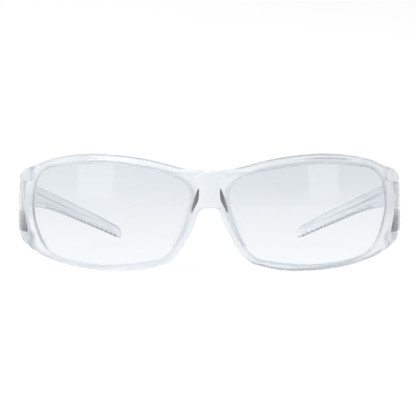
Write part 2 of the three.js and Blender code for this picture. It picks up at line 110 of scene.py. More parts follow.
# The bridge's upper and lower edges are rounded.
BRIDGE_EDGE = GROOVE + [
    (0, 0.5, 0), (0.25, 0, 0.45), (0.42, 0, 0.8), (0.6, 0, 0.05), (0.85, 0, -0.05),
    (1, 0, 0.05), (1, 0, 0.9), (1, 0, 4.0), (1, 0, 4.6), (0.9, 0, 4.8), (0.5, 0, 4.8),
    (0, 0.9, 4.8), (0, 0.6, 4.65),
]
SIDE_THINNING = 0.72             # share of the rim's depth behind the lens that the sides lose
BACK_LIP_LEAN = 1.6              # lean of the wall behind the lens, over the face's turn
WALL_START = len(GROOVE) + 5     # first section row on the outer wall, and the row after it
WALL_END = len(GROOVE) + 8


# ---- Curves and surfaces ----------------------------------------------------------------
def ramp(low, high, value):
    """Smooth step from 0 to 1 between low and high."""
    share = np.clip((value - low) / (high - low), 0, 1)
    return share * share * (3 - 2 * share)


def spline(points, steps, closed=False):
    """Smooth cubic spline through points, with some steps in each span."""
    knots = np.array(points, float)
    if closed:
        knots = np.vstack([knots, knots[:1]])
    gaps = np.linalg.norm(np.diff(knots, axis=0), axis=1) ** 0.5
    count = len(knots)
    system = np.eye(count)
    rhs = np.zeros_like(knots)
    slopes = np.diff(knots, axis=0) / gaps[:, None]
    for i in range(1, count - 1):
        system[i, i - 1:i + 2] = [gaps[i - 1], 2 * (gaps[i - 1] + gaps[i]), gaps[i]]
        rhs[i] = 6 * (slopes[i] - slopes[i - 1])
    if closed:
        system[0] = 0
        system[0, [0, 1, -2]] = [2 * (gaps[0] + gaps[-1]), gaps[0], gaps[-1]]
        rhs[0] = 6 * (slopes[0] - slopes[-1])
        system[-1] = 0
        system[-1, [0, -1]] = [1, -1]
    bends = np.linalg.solve(system, rhs)
    pieces = []
    for i, gap in enumerate(gaps):
        t = np.arange(steps) / steps
        a, b = (1 - t)[:, None], t[:, None]
        line = a * knots[i] + b * knots[i + 1]
        bend = ((a ** 3 - a) * bends[i] + (b ** 3 - b) * bends[i + 1]) * gap * gap / 6
        pieces.append(line + bend)
    curve = np.vstack(pieces)
    return curve if closed else np.vstack([curve, knots[-1]])


def on_face(x, z, depth):
    """Points on the curved face, or behind it along its normal."""
    x, z, depth = (np.asarray(v, float) for v in (x, z, depth))
    wrap = np.sqrt(WRAP_RADIUS ** 2 - x ** 2)
    rise = z - FACE_MIDDLE_Z
    y = WRAP_RADIUS - wrap + rise ** 2 / (2 * FACE_TILT_RADIUS)
    normal = np.stack([-x / wrap, np.ones_like(x), -rise / FACE_TILT_RADIUS], axis=-1)
    normal /= np.linalg.norm(normal, axis=-1, keepdims=True)
    return np.stack([x, y, z], axis=-1) + normal * depth[..., None]


def reach_along(outline, angle):
    """Distance from the lens centre to a closed outline in one direction."""
    ray = np.array([math.cos(angle), math.sin(angle)])
    start = outline - LENS_CENTRE
    edge = np.roll(start, -1, axis=0) - start
    cross = ray[0] * edge[:, 1] - ray[1] * edge[:, 0]
    cross[np.abs(cross) < 1e-12] = 1e-12
    along = (start[:, 0] * edge[:, 1] - start[:, 1] * edge[:, 0]) / cross
    share = (start[:, 0] * ray[1] - start[:, 1] * ray[0]) / cross
    hits = along[(share >= 0) & (share <= 1) & (along > 0)]
    return float(hits.max())


LENS_CURVE = spline(LENS_OUTLINE, 40, closed=True)


# ---- Mesh making ------------------------------------------------------------------------
# Rounded edge of a block, from its flat face to its wall: inset and lift over the rounding.
EDGE_STEPS = [(0.9, 0.0), (0.4, 0.05), (0.1, 0.35), (0, 1.0)]


def make_object(name, points, faces):
    """Blender object from points in millimetres, with its faces turned outwards."""
    moved = (np.asarray(points, float) + np.array([0, DEPTH_SHIFT, 0])) * MM
    mesh = bpy.data.meshes.new(name)
    mesh.from_pydata(moved.tolist(), [], [list(map(int, f)) for f in faces])
    made = bmesh.new()
    made.from_mesh(mesh)
    bmesh.ops.delete(made, geom=[v for v in made.verts if not v.link_faces], context="VERTS")
    bmesh.ops.recalc_face_normals(made, faces=made.faces)
    made.to_mesh(mesh)
    made.free()
    obj = bpy.data.objects.new(name, mesh)
    bpy.context.scene.collection.objects.link(obj)
    return obj


def apply_modifiers(obj):
    """Turns an object's modifiers into its mesh."""
    graph = bpy.context.evaluated_depsgraph_get()
    mesh = bpy.data.meshes.new_from_object(obj.evaluated_get(graph))
    obj.modifiers.clear()
    obj.data = mesh
    return obj


def subdivide(obj, levels):
    """Catmull-Clark smoothing of a cage."""
    modifier = obj.modifiers.new("smooth", "SUBSURF")
    modifier.levels = levels
    modifier.render_levels = levels
    return apply_modifiers(obj)


def combine(obj, other, operation):
    """Joins or cuts one closed mesh with another, and removes the other."""
    modifier = obj.modifiers.new("combine", "BOOLEAN")
    modifier.operation = operation
    modifier.solver = "MANIFOLD"
    modifier.object = other
    apply_modifiers(obj)
    bpy.data.objects.remove(other)
    return obj


def shade_smooth(obj):
    """Smooth shading that keeps sharp edges."""
    obj.data.shade_smooth()
    obj.data.set_sharp_from_angle(angle=math.radians(SHARP_ANGLE))


def mirror_copy(obj, name):
    """Mirror image of a finished mesh on the other side of the middle plane."""
    mesh = obj.data.copy()
    made = bmesh.new()
    made.from_mesh(mesh)
    for vert in made.verts:
        vert.co.x = -vert.co.x
    bmesh.ops.reverse_faces(made, faces=made.faces)
    made.to_mesh(mesh)
    made.free()
    mesh.name = name
    other = bpy.data.objects.new(name, mesh)
    bpy.context.scene.collection.objects.link(other)
    return other


def skin(name, rings):
    """Closed skin of quads over rings of equal size, with a flat face on each end."""
    size = len(rings[0])
    faces = []
    for start in range(0, (len(rings) - 1) * size, size):
        for i in range(size):
            j = (i + 1) % size
            faces.append((start + i, start + j, start + size + j, start + size + i))
    points = np.vstack(rings)
    faces.append(tuple(range(size)))
    faces.append(tuple(range(len(points) - size, len(points)))[::-1])
    return make_object(name, points, faces)


def drawn_in(ring, share):
    """Ring shrunk towards its own middle."""
    middle = ring.mean(0)
    return middle + (ring - middle) * share


def loft(name, rings):
    """Closed skin over sections: each end is drawn in to its middle by two extra rings."""
    rings = [np.asarray(r, float) for r in rings]
    front = [drawn_in(rings[0], share) for share in (0.4, 0.8)]
    rear = [drawn_in(rings[-1], share) for share in (0.8, 0.4)]
    return skin(name, front + rings + rear)


def plan_block(name, plan, low, high, rounding):
    """Upright block of a plan outline (x, y) between two heights, with rounded edges.
    Heights are functions of x."""
    outline = spline(plan, 6, closed=True)
    middle = outline.mean(0)
    spokes = outline - middle
    lengths = np.linalg.norm(spokes, axis=1, keepdims=True)
    lower_rings, upper_rings = [], []
    for share in (0.33, 0.66):
        inner = middle + spokes * share
        lower_rings.append(np.column_stack([inner, low(inner[:, 0])]))
        upper_rings.append(np.column_stack([inner, high(inner[:, 0])]))
    for inset, lift in EDGE_STEPS:
        inner = middle + spokes * (1 - inset * rounding / lengths)
        bottom, top = low(inner[:, 0]), high(inner[:, 0])
        halfway = (bottom + top) / 2
        lower_edge = np.minimum(bottom + lift * rounding, halfway - 0.1)
        upper_edge = np.maximum(top - lift * rounding, halfway + 0.1)
        lower_rings.append(np.column_stack([inner, lower_edge]))
        upper_rings.append(np.column_stack([inner, upper_edge]))
    return skin(name, lower_rings + upper_rings[::-1])


def peg(name, radius, low, high):
    """Upright round peg on the left hinge axis, with softened ends."""
    turn = np.linspace(0, 2 * math.pi, PEG_SEGMENTS, endpoint=False)
    lower_end = [(0.5, low), (0.85, low), (1, low + 0.15)]
    upper_end = [(1, high - 0.15), (0.85, high), (0.5, high)]
    rings = []
    for share, z in lower_end + upper_end:
        x = HINGE_X + radius * share * np.cos(turn)
        y = HINGE_Y + radius * share * np.sin(turn)
        rings.append(np.column_stack([x, y, np.full(PEG_SEGMENTS, z)]))
    return skin(name, rings)


# ---- Front frame ------------------------------------------------------------------------
STEPS_PER_SPAN = 4
# Heights of the sections on the middle plane, as shares of the bridge's height.
BRIDGE_LEVELS = [0.025, 0.06, 0.12, 0.22, 0.36, 0.5, 0.64, 0.78, 0.88, 0.94, 0.975]


def rim_stations():
    """Stations round one rim: outline points, their angles, and the lens's and rim's reach."""
    right = np.array(FRAME_OUTLINE, float)
    left = right[1:-1][::-1] * [-1, 1]
    whole = spline(np.vstack([right, left]), STEPS_PER_SPAN, closed=True)
    outline = whole[:(len(right) - 1) * STEPS_PER_SPAN + 1]
    outline[[0, -1], 0] = 0
    top, bottom = outline[0, 1], outline[-1, 1]
    across = bottom + (top - bottom) * np.array(BRIDGE_LEVELS)
    outline = np.vstack([outline, np.column_stack([np.zeros(len(across)), across])])
    spokes = outline - LENS_CENTRE
    angles = np.arctan2(spokes[:, 1], spokes[:, 0])
    inner = np.array([reach_along(LENS_CURVE, a) for a in angles])
    return outline, angles, inner, np.linalg.norm(spokes, axis=1)


def brow_share(x, z):
    """How much of the brow roll there is at a point of the outline."""
    return ramp(1, 12, x) * (1 - ramp(65, 70, x)) * (z > 31)


def front_sections(outline):
    """Section at each station of the outline, mixed from the rim's, brow's and bridge's."""
    brow = brow_share(outline[:, 0], outline[:, 1])[:, None, None]
    bridge = (1 - ramp(0, 4, outline[:, 0]))[:, None, None]
    to_edge = np.minimum(outline[:, 1] - FRAME_OUTLINE[-1][1], FRAME_OUTLINE[0][1] - outline[:, 1])
    middle = np.where(outline[:, 0] > 0, 0, ramp(0, 0.55, to_edge))[:, None, None]
    rim, rolled, flat, rounded = (
        np.array(s, float) for s in (RIM_SECTION, BROW_SECTION, BRIDGE_MIDDLE, BRIDGE_EDGE)
    )
    mixed = rim * (1 - brow) + rolled * brow
    mixed = mixed * (1 - bridge) + (flat * middle + rounded * (1 - middle)) * bridge
    behind = mixed[:, :, 2] - GROOVE_BACK
    thinning = SIDE_THINNING * ramp(50, 63, outline[:, 0])[:, None]
    mixed[:, :, 2] -= thinning * np.clip(behind, 0, None)
    return mixed


def lip_lean(outline, angles, shares, depths, width):
    """How far the wall behind the lens leans outwards, where the face curves away."""
    turned = np.cos(angles) * outline[:, 0] / WRAP_RADIUS
    turned += np.sin(angles) * (outline[:, 1] - FACE_MIDDLE_Z) / FACE_TILT_RADIUS
    behind_lens = np.clip(depths - GROOVE_BACK, 0, None) * (shares < 0.3)
    lean = BACK_LIP_LEAN * np.clip(turned, 0, 1)[:, None] * behind_lens
    return np.minimum(lean, 0.25 * width)


def frame_cage():
    """Control cage of the whole front: one half's sections, then their mirror images."""
    outline, angles, inner, outer = rim_stations()
    sections = front_sections(outline)
    shares, offsets, depths = (sections[:, :, k] for k in range(3))
    width = (outer - inner)[:, None]
    lean = lip_lean(outline, angles, shares, depths, width)
    reach = inner[:, None] + shares * width + offsets + lean
    x = LENS_CENTRE[0] + reach * np.cos(angles)[:, None]
    z = LENS_CENTRE[1] + reach * np.sin(angles)[:, None]
    half = on_face(x, z, depths)
    on_middle = np.abs(half[:, :, 0]) < 1e-6
    rows, size = half.shape[:2]
    first_bridge = rows - len(BRIDGE_LEVELS) - 1
    faces = []
    for r in range(rows):
        for i in range(size):
            is_seam = r >= first_bridge and WALL_START <= i < WALL_END
            if not is_seam:
                a, b, j = r * size, ((r + 1) % rows) * size, (i + 1) % size
                faces.append((a + i, a + j, b + j, b + i))
    points = half.reshape(-1, 3)
    total = len(points)
    twins = np.where(on_middle.ravel(), np.arange(total), np.arange(total) + total)
    mirrored = [tuple(int(twins[k]) for k in face[::-1]) for face in faces]
    both = np.vstack([points, points * [-1, 1, 1]])
    return make_object("front_frame_shell", both, faces + mirrored)


# Plan outlines of the left lugs, as x and y. Each reaches into the rim beside it.
UPPER_LUG_PLAN = [
    (66.8, 25.6), (67.7, 23.5), (69.3, 23.3), (70.9, 24.8), (72.5, 27.6), (73.3, 30.8),
    (72.9, 33.6), (71.2, 34.6), (68.8, 34.0), (67.4, 31.2), (66.4, 28.4),
]
LOWER_LUG_PLAN = [
    (66.4, 28.0), (68.4, 26.4), (70.4, 25.9), (72.2, 27.6), (73.3, 30.8), (72.9, 33.6),
    (71.2, 34.6), (68.8, 34.0), (67.4, 31.2),
]


def upper_lug_top(x):
    """Height of the upper lug's top over x: it falls towards the corner."""
    return np.interp(x, [62, 66, 69.6, 71.5, 72.6, 73.4], [40.8, 39.0, 37.5, 36.5, 35.4, 34.2])


def upper_lug_bottom(x):
    """Height of the upper lug's flat underside over x."""
    return np.full_like(x, UPPER_LUG_BOTTOM)


def lower_lug_top(x):
    """Height of the lower lug's flat top over x."""
    return np.full_like(x, LOWER_LUG_TOP)


def lower_lug_bottom(x):
    """Height of the lower lug's underside over x."""
    return np.interp(x, [62, 66, 68.3, 71.5, 72.7, 73.4], [4.0, 5.3, 6.9, 9.9, 11.4, 12.4])


def make_lug(upper):
    """Left upper or lower lug, with its bore, cut clear of the lens."""
    if upper:
        lug = plan_block("upper_lug", UPPER_LUG_PLAN, upper_lug_bottom, upper_lug_top, 0.9)
        bore = peg("bore", BORE_RADIUS, 30, 40)
    else:
        lug = plan_block("lower_lug", LOWER_LUG_PLAN, lower_lug_bottom, lower_lug_top, 1.1)
        bore = peg("bore", BORE_RADIUS, 2, 15)
    combine(lug, bore, "DIFFERENCE")
    lens_path = lens_blank("lens_path", GROOVE_DEPTH, GROOVE_FRONT, GROOVE_BACK)
    return combine(lug, lens_path, "DIFFERENCE")


def on_side(made, side):
    """The left object itself, or its mirror image in its place for the right side."""
    if side > 0:
        return made
    twin = mirror_copy(made, "twin")
    bpy.data.objects.remove(made)
    return twin


def make_front_frame():
    """The whole front moulding: rims, bridge and brow, four bored lugs and the pads' slots."""
    shell = subdivide(frame_cage(), 2)
    for side in (1, -1):
        for upper in (True, False):
            combine(shell, on_side(make_lug(upper), side), "UNION")
    for side in (1, -1):
        combine(shell, on_side(pad_tongue("slot", SLOT_DEPTH, SLOT_GAP), side), "DIFFERENCE")
    shade_smooth(shell)
    shell.name = "front_frame_fine"
    return shell


# ---- Lenses -----------------------------------------------------------------------------
LENS_CELLS = 48                  # cells across the grid of a lens face


def lens_blank(name, edge, front, back):
    """Curved slab of quads that fills the lens outline and reaches past its edge."""
    steps = np.linspace(-1, 1, LENS_CELLS + 1)
    u, v = np.meshgrid(steps, steps, indexing="ij")
    px = u * np.sqrt(1 - v * v / 2)
    pz = v * np.sqrt(1 - u * u / 2)
    angle = np.arctan2(pz, px)
    radius = np.hypot(px, pz)
    reach = np.vectorize(lambda a: reach_along(LENS_CURVE, a))(angle) + edge
    x = LENS_CENTRE[0] + reach * radius * np.cos(angle)
    z = LENS_CENTRE[1] + reach * radius * np.sin(angle)
    near = on_face(x, z, np.full_like(x, front)).reshape(-1, 3)
    far = on_face(x, z, np.full_like(x, back)).reshape(-1, 3)
    total = x.size
    index = np.arange(total).reshape(x.shape)
    faces = []
    for i in range(LENS_CELLS):
        for j in range(LENS_CELLS):
            quad = (index[i, j], index[i + 1, j], index[i + 1, j + 1], index[i, j + 1])
            faces.append(quad)
            faces.append(tuple(k + total for k in quad[::-1]))
    rim = np.concatenate([index[:-1, 0], index[-1, :-1], index[:0:-1, -1], index[0, :0:-1]])
    for a, b in zip(rim, np.roll(rim, -1)):
        faces.append((b, a, a + total, b + total))
    return make_object(name, np.vstack([near, far]), faces)


def make_lens():
    """Left lens, seated in its groove."""
    lens = lens_blank("left_lens_fine", LENS_EDGE, LENS_FRONT, LENS_BACK)
    shade_smooth(lens)
    return lens


# ---- Nose pads --------------------------------------------------------------------------
PAD_PATH = [(4.0, 30.0), (4.5, 26.4), (5.6, 22.6), (7.4, 18.2), (9.9, 13.0), (12.6, 9.0)]
PAD_THICKNESS = 1.8
PAD_FRONT_DEPTH = 5.2            # how far behind the face the pad starts
PAD_REACH = 6.5                  # how far back it reaches in its middle
PAD_FLARE = 2.2                  # how far its rear edge leans away from the nose
TONGUE_DEPTH = 0.6               # the tongue ends just behind the bridge's face
SLOT_DEPTH = -2                  # the slot starts in front of the face, so it goes right through
SLOT_GAP = 0.05
# Tongue along the pad's path: x, z and half width.
TONGUE_PATH = [
    (3.95, 30.3, 0.2), (4.35, 28.5, 0.55), (4.65, 27.0, 0.75), (5.0, 25.6, 0.72),
    (5.6, 24.15, 0.52), (6.1, 22.7, 0.3), (6.4, 21.9, 0.14),
]


def pad_tongue(name, depth, clearance):
    """Tongue on the pad's front, or its slot in the bridge."""
    path = spline(TONGUE_PATH, 6)
    rings = []
    for i, (x, z, half) in enumerate(path):
        half += clearance
        front = on_face(x, z, depth)[1]
        back = on_face(x, z, PAD_FRONT_DEPTH + 1)[1]
        level = z + clearance * (1 - 2 * i / (len(path) - 1))
        rings.append([
            (x - half, front + 0.25, level), (x - half * 0.7, front, level),
            (x + half * 0.7, front, level), (x + half, front + 0.25, level),
            (x + half, back, level), (x - half, back, level),
        ])
    return loft(name, rings)


def make_nose_pad():
    """Left nose pad: a soft blade that leans outwards towards its rear edge."""
    path = spline(PAD_PATH, 5)
    rings = []
    for i, (x, z) in enumerate(path):
        share = i / (len(path) - 1)
        arc = math.sin(math.pi * share)
        reach = PAD_REACH * (0.35 + 0.65 * arc)
        half = PAD_THICKNESS / 2 * (0.5 + 0.5 * arc ** 0.5)
        front = on_face(x, z, PAD_FRONT_DEPTH)[1]
        lean = PAD_FLARE * reach / PAD_REACH
        rows = [
            (-half * 0.6, 0), (half * 0.6, 0), (half, 0.08), (half, 0.5), (half, 0.85),
            (half * 0.6, 1), (-half * 0.6, 1), (-half, 0.85), (-half, 0.5), (-half, 0.08),
        ]
        rings.append([(x + offset + lean * t, front + reach * t, z) for offset, t in rows])
    pad = subdivide(loft("left_nose_pad_fine", rings), 2)
    combine(pad, pad_tongue("tongue", TONGUE_DEPTH, 0), "UNION")
    shade_smooth(pad)
    return pad


# ---- Temples ----------------------------------------------------------------------------
ROOT_BOTTOM = 21.6
ROOT_TOP = UPPER_LUG_BOTTOM - 0.2
# Root and arm, one row per station: y, middle x, lowest z, highest z, thickness.
ARM_STATIONS = [
    (27.1, 70.8, ROOT_BOTTOM + 0.05, ROOT_TOP, 1.0), (27.7, 70.9, ROOT_BOTTOM, ROOT_TOP, 2.6),
    (28.8, 70.95, ROOT_BOTTOM, ROOT_TOP, 3.9), (30.3, 71.05, ROOT_BOTTOM, ROOT_TOP, 4.9),
    (32.0, 71.4, ROOT_BOTTOM, ROOT_TOP, 4.9), (33.3, 72.0, ROOT_BOTTOM, ROOT_TOP, 4.1),
    (34.8, 72.7, ROOT_BOTTOM, 32.4, 3.3), (37.5, 73.05, ROOT_BOTTOM, 32.3, 3.0),
    (42, 72.95, ROOT_BOTTOM, 31.9, 3.0), (47, 72.6, ROOT_BOTTOM, 31.4, 3.0),
    (60, 71.6, 21.2, 29.9, 3.0), (90, 67.0, 17.8, 24.8, 3.0), (120, 59.0, 11.4, 17.9, 3.0),
    (140, 50.6, 5.7, 11.6, 3.0), (153, 43.9, 1.2, 6.4, 3.0),
]
# Heights of the arm's upper and lower rails above and below the pocket, over depth.
RAIL_DEPTHS = [52, 62, 93, 120, 140]
UPPER_RAIL = [2.4, 2.9, 3.3, 2.9, 1.7]
LOWER_RAIL = [1.9, 1.8, 1.6, 1.4, 1.1]
ROOT_LEAN = 0.8                  # how far the root's outer face leans in at its top
LEAN_START = (29, 32)            # y over which that lean grows, and over which it fades
LEAN_END = (36, 46)
STRAIGHT_ROOT = (38, 48)         # y over which the sections turn from square to the arm's path
POCKET_DEPTH = 0.9               # recess between the rails of the arm's inner face
POCKET_SPAN = (57, 148)
POCKET_RUNOUT = (1.5, 3)         # lengths over which the recess starts and ends
RIB_SPAN = (70, 147)
RIB_PITCH = 3.8
RIB_HEIGHT = 0.28
FLUTE_DEPTH = 0.1                # shallow dips in the arm's upper edge, in step with the ribs
STATIONS_PER_RIB = 8
UNDERSIDE_SHADE_START = 44                  # depth where the painted shade on the underside starts
TIP_LENGTH = 4.6                 # length of the rounded end
ROOT_LENGTH = 11                 # part of the root that has the densest sections
LOOK_AHEAD = 0.4                 # step over which the arm's direction is taken
TIP_TURN = 0.53                  # sideways lean of the last sections, over the depth


def arm_rows(depths, stations):
    """Arm values at some depths, from a smooth curve through its stations."""
    curve = spline(stations, 30)
    return np.column_stack([np.interp(depths, curve[:, 0], curve[:, k]) for k in range(1, 5)])


def arm_depths(start, end):
    """Depths of the arm's sections: dense at the root, pocket's ends, ribs and tip."""
    root = start + ROOT_LENGTH * np.linspace(0, 1, 26, endpoint=False) ** 1.5
    plain = np.linspace(start + ROOT_LENGTH, RIB_SPAN[0], 36, endpoint=False)
    ribbed = np.arange(RIB_SPAN[0], end - TIP_LENGTH - 0.2, RIB_PITCH / STATIONS_PER_RIB)
    turn = np.linspace(0, math.pi / 2, 9)[:-1]
    tip = end - TIP_LENGTH + TIP_LENGTH * np.sin(turn)
    return np.concatenate([root, plain, ribbed, tip])


def arm_section(half, low, high, rails, pocket, rib, flute, edge, lean):
    """Section of the arm, as (offset outwards, height) rows. Edge scales its rounding."""
    upper, lower = rails
    big, small = 0.9 * edge, 0.25 * edge
    bulge = half + 0.12
    return [
        (half, low + big), (bulge, low + (high - low) * 0.35),
        (bulge - 0.3 * lean, low + (high - low) * 0.65), (half - lean, high - big),
        (half - lean - small, high - small), (half - lean - big, high),
        (-half + 0.6 * edge, high), (-half + 0.15 * edge, high - 0.15 * edge - flute),
        (-half, high - 0.6 * edge), (-half, high - upper + 0.15),
        (-half + pocket * 0.15, high - upper), (-half + pocket, high - upper - 0.35),
        (-half + pocket, high - upper - 0.7), (-half + pocket, low + lower + 0.7),
        (-half + pocket, low + lower + 0.35), (-half + pocket * 0.15 - rib, low + lower),
        (-half - rib, low + lower - 0.2), (-half - rib, low + 0.6 * edge),
        (-half + 0.15 * edge - rib * 0.6, low + 0.15 * edge + rib * 0.3),
        (-half + 0.6 * edge, low), (half - big, low), (half - small, low + small),
    ]


LOFT_END_RINGS = 2               # extra rings that a loft puts before its first section
SHADED_UNDERSIDE_ROWS = (18, 20)             # section rows on the arm's underside, painted with shade
RIB_ROW = 17                     # section row above them, also painted with shade between the ribs


def mark_painted_underside_shade(arm, size, depths):
    """Gives the arm's underside, and the rows just above it between the ribs, the second material:
    painted shade. Size is the section's row count.
    """
    for face in arm.data.polygons:
        rows = [v % size for v in face.vertices]
        ring = min(face.vertices) // size - LOFT_END_RINGS
        if len(rows) > 4 or not 0 <= ring < len(depths) or depths[ring] < UNDERSIDE_SHADE_START:
            continue
        phase = (depths[ring] - RIB_SPAN[0]) / RIB_PITCH % 1
        between_ribs = phase < 0.3 or phase > 0.7
        lowest = RIB_ROW if between_ribs and depths[ring] > RIB_SPAN[0] else SHADED_UNDERSIDE_ROWS[0]
        if min(rows) >= lowest and max(rows) <= SHADED_UNDERSIDE_ROWS[1]:
            face.material_index = 1


def pocket_depth(y):
    """Depth of the recess in the arm's inner face."""
    start, end = POCKET_SPAN
    opening = ramp(start, start + POCKET_RUNOUT[0], y)
    closing = 1 - ramp(end - POCKET_RUNOUT[1], end, y)
    return POCKET_DEPTH * opening * closing


def rib_and_flute(y):
    """Height of the rib and depth of the flute at one depth along the arm."""
    if not RIB_SPAN[0] <= y <= RIB_SPAN[1]:
        return 0, 0
    wave = 0.5 - 0.5 * math.cos(2 * math.pi * (y - RIB_SPAN[0]) / RIB_PITCH)
    return RIB_HEIGHT * wave ** 0.7, FLUTE_DEPTH * wave


def arm_ring(y, station, slope, end):
    """One section of the root or arm, square to its path. The arm's tip is rounded off."""
    x, low, high, thick = station
    across = np.array([1, TIP_TURN if y > end - 0.5 else -slope * ramp(*STRAIGHT_ROOT, y)])
    across /= np.linalg.norm(across)
    into_tip = max(0, y - (end - TIP_LENGTH)) / TIP_LENGTH
    round_off = math.sqrt(1 - into_tip ** 2)
    middle = (low + high) / 2
    half = thick / 2 * (0.25 + 0.75 * round_off)
    edge = 0.3 + 0.7 * ramp(*STRAIGHT_ROOT, y)
    rails = [np.interp(y, RAIL_DEPTHS, widths) for widths in (UPPER_RAIL, LOWER_RAIL)]
    lean = ROOT_LEAN * (1 - ramp(*LEAN_END, y)) * ramp(*LEAN_START, y)
    section = arm_section(half, low, high, rails, pocket_depth(y), *rib_and_flute(y), edge, lean)
    return [
        (x + across[0] * offset, y + across[1] * offset, middle + (z - middle) * round_off)
        for offset, z in section
    ]


def make_temple():
    """Left temple: root plate, hinge barrel and the ribbed, pocketed arm."""
    start, end = ARM_STATIONS[0][0], ARM_STATIONS[-1][0]
    depths = arm_depths(start, end)
    stations = arm_rows(depths, ARM_STATIONS)
    ahead = arm_rows(depths + LOOK_AHEAD, ARM_STATIONS)
    slopes = (ahead[:, 0] - stations[:, 0]) / LOOK_AHEAD
    rings = [arm_ring(y, *row, end) for y, *row in zip(depths, stations, slopes)]
    arm = loft("left_temple_fine", rings)
    mark_painted_underside_shade(arm, len(rings[0]), depths)
    arm = subdivide(arm, 1)
    combine(arm, peg("bore", BORE_RADIUS, 27.3, 36), "DIFFERENCE")
    shade_smooth(arm)
    return arm


# ---- Side shields -----------------------------------------------------------------------
SHIELD_BOTTOM = LOWER_LUG_TOP + 0.15
SHIELD_TOP = ROOT_BOTTOM - 0.15
SHIELD_STATIONS = [
    (27.1, 70.8, SHIELD_BOTTOM, SHIELD_TOP, 1.0), (27.7, 70.9, SHIELD_BOTTOM, SHIELD_TOP, 2.6),
    (28.8, 71.0, SHIELD_BOTTOM, SHIELD_TOP, 4.0), (30.3, 71.1, SHIELD_BOTTOM, SHIELD_TOP, 5.0),
    (32.0, 71.5, SHIELD_BOTTOM, SHIELD_TOP, 5.0), (33.3, 72.1, 13.6, SHIELD_TOP, 4.2),
    (34.8, 72.85, 13.9, SHIELD_TOP, 3.4), (37.0, 73.3, 14.8, SHIELD_TOP, 2.9),
    (40.0, 73.3, 16.6, SHIELD_TOP, 2.8), (43.5, 73.1, 19.2, SHIELD_TOP, 2.6),
    (47.3, 72.9, 20.9, SHIELD_TOP, 2.2),
]


def make_side_shield():
    """Left side shield: the tapering plate under the temple root, with its knuckle."""
    start, end = SHIELD_STATIONS[0][0], SHIELD_STATIONS[-1][0]
    depths = start + (end - start) * np.linspace(0, 1, 34) ** 1.3
    rings = []
    for y, (x, low, high, thick) in zip(depths, arm_rows(depths, SHIELD_STATIONS)):
        half = thick / 2
        soft = min(0.35, (high - low) / 4)
        section = [
            (half, low + soft), (half, (low + high) / 2), (half, high - 0.15),
            (half - 0.15, high), (0, high), (-half + 0.15, high), (-half, high - 0.15),
            (-half, (low + high) / 2), (-half, low + soft), (-half + soft, low), (0, low),
            (half - soft, low),
        ]
        rings.append([(x + offset, y, z) for offset, z in section])
    plate = subdivide(loft("left_side_shield_fine", rings), 2)
    combine(plate, peg("bore", BORE_RADIUS, 10, 19.5), "DIFFERENCE")
    shade_smooth(plate)
    return plate


# ---- Materials --------------------------------------------------------------------------
def node_material(name):
    """New node material, with its node tree and shader."""
    material = bpy.data.materials.new(name)
    material.use_nodes = True
    tree = material.node_tree
    return material, tree, tree.nodes["Principled BSDF"]


def object_height(tree):
    """Socket with the object-space height in metres."""
    coords = tree.nodes.new("ShaderNodeTexCoord")
    split = tree.nodes.new("ShaderNodeSeparateXYZ")
    tree.links.new(coords.outputs["Object"], split.inputs[0])
    return split.outputs["Z"]


def add_waviness(tree, shader, scale, strength, polish):
    """Faint moulding waviness in the surface, and a coat's uneven polish in step with it."""
    coords = tree.nodes.new("ShaderNodeTexCoord")
    noise = tree.nodes.new("ShaderNodeTexNoise")
    noise.inputs["Scale"].default_value = scale
    noise.inputs["Detail"].default_value = 2
    bump = tree.nodes.new("ShaderNodeBump")
    bump.inputs["Strength"].default_value = strength
    bump.inputs["Distance"].default_value = 0.0004
    tree.links.new(coords.outputs["Object"], noise.inputs["Vector"])
    tree.links.new(noise.outputs["Fac"], bump.inputs["Height"])
    tree.links.new(bump.outputs["Normal"], shader.inputs["Normal"])
    if polish:
        skin = tree.nodes.new("ShaderNodeMapRange")
        skin.inputs["To Min"].default_value = polish[0]
        skin.inputs["To Max"].default_value = polish[1]
        tree.links.new(noise.outputs["Fac"], skin.inputs["Value"])
        tree.links.new(skin.outputs["Result"], shader.inputs["Coat Roughness"])


TINT_HEIGHT = 45                 # height in mm at the top of every colour ramp


def height_ramp(tree, shader, stops):
    """Colour that changes with height: stops are (height in mm, colour)."""
    scale = tree.nodes.new("ShaderNodeMapRange")
    scale.inputs["From Min"].default_value = 0
    scale.inputs["From Max"].default_value = TINT_HEIGHT * MM
    colours = tree.nodes.new("ShaderNodeValToRGB")
    elements = colours.color_ramp.elements
    while len(elements) < len(stops):
        elements.new(0.5)
    for element, (height, colour) in zip(elements, stops):
        element.position = height / TINT_HEIGHT
        element.color = (*colour, 1)
    tree.links.new(object_height(tree), scale.inputs["Value"])
    tree.links.new(scale.outputs["Result"], colours.inputs["Fac"])
    tree.links.new(colours.outputs["Color"], shader.inputs["Base Color"])


def depth_share(tree, start, end):
    """Node whose result runs from 0 to 1 between two depths in the front's coordinates."""
    coords = tree.nodes.new("ShaderNodeTexCoord")
    split = tree.nodes.new("ShaderNodeSeparateXYZ")
    share = tree.nodes.new("ShaderNodeMapRange")
    share.interpolation_type = "SMOOTHSTEP"
    share.inputs["From Min"].default_value = (DEPTH_SHIFT + start) * MM
    share.inputs["From Max"].default_value = (DEPTH_SHIFT + end) * MM
    tree.links.new(coords.outputs["Object"], split.inputs[0])
    tree.links.new(split.outputs["Y"], share.inputs["Value"])
    return share


def paint_shade_in_front(material, start, end, colour):
    """Painted shade in front of a depth: the dark front of the pads' tongues."""
    tree = material.node_tree
    shader = tree.nodes["Principled BSDF"]
    mix = tree.nodes.new("ShaderNodeMix")
    mix.data_type = "RGBA"
    mix.inputs["A"].default_value = (*colour, 1)
    tree.links.new(depth_share(tree, start, end).outputs["Result"], mix.inputs["Factor"])
    tree.links.new(shader.inputs["Base Color"].links[0].from_socket, mix.inputs["B"])
    tree.links.new(mix.outputs["Result"], shader.inputs["Base Color"])


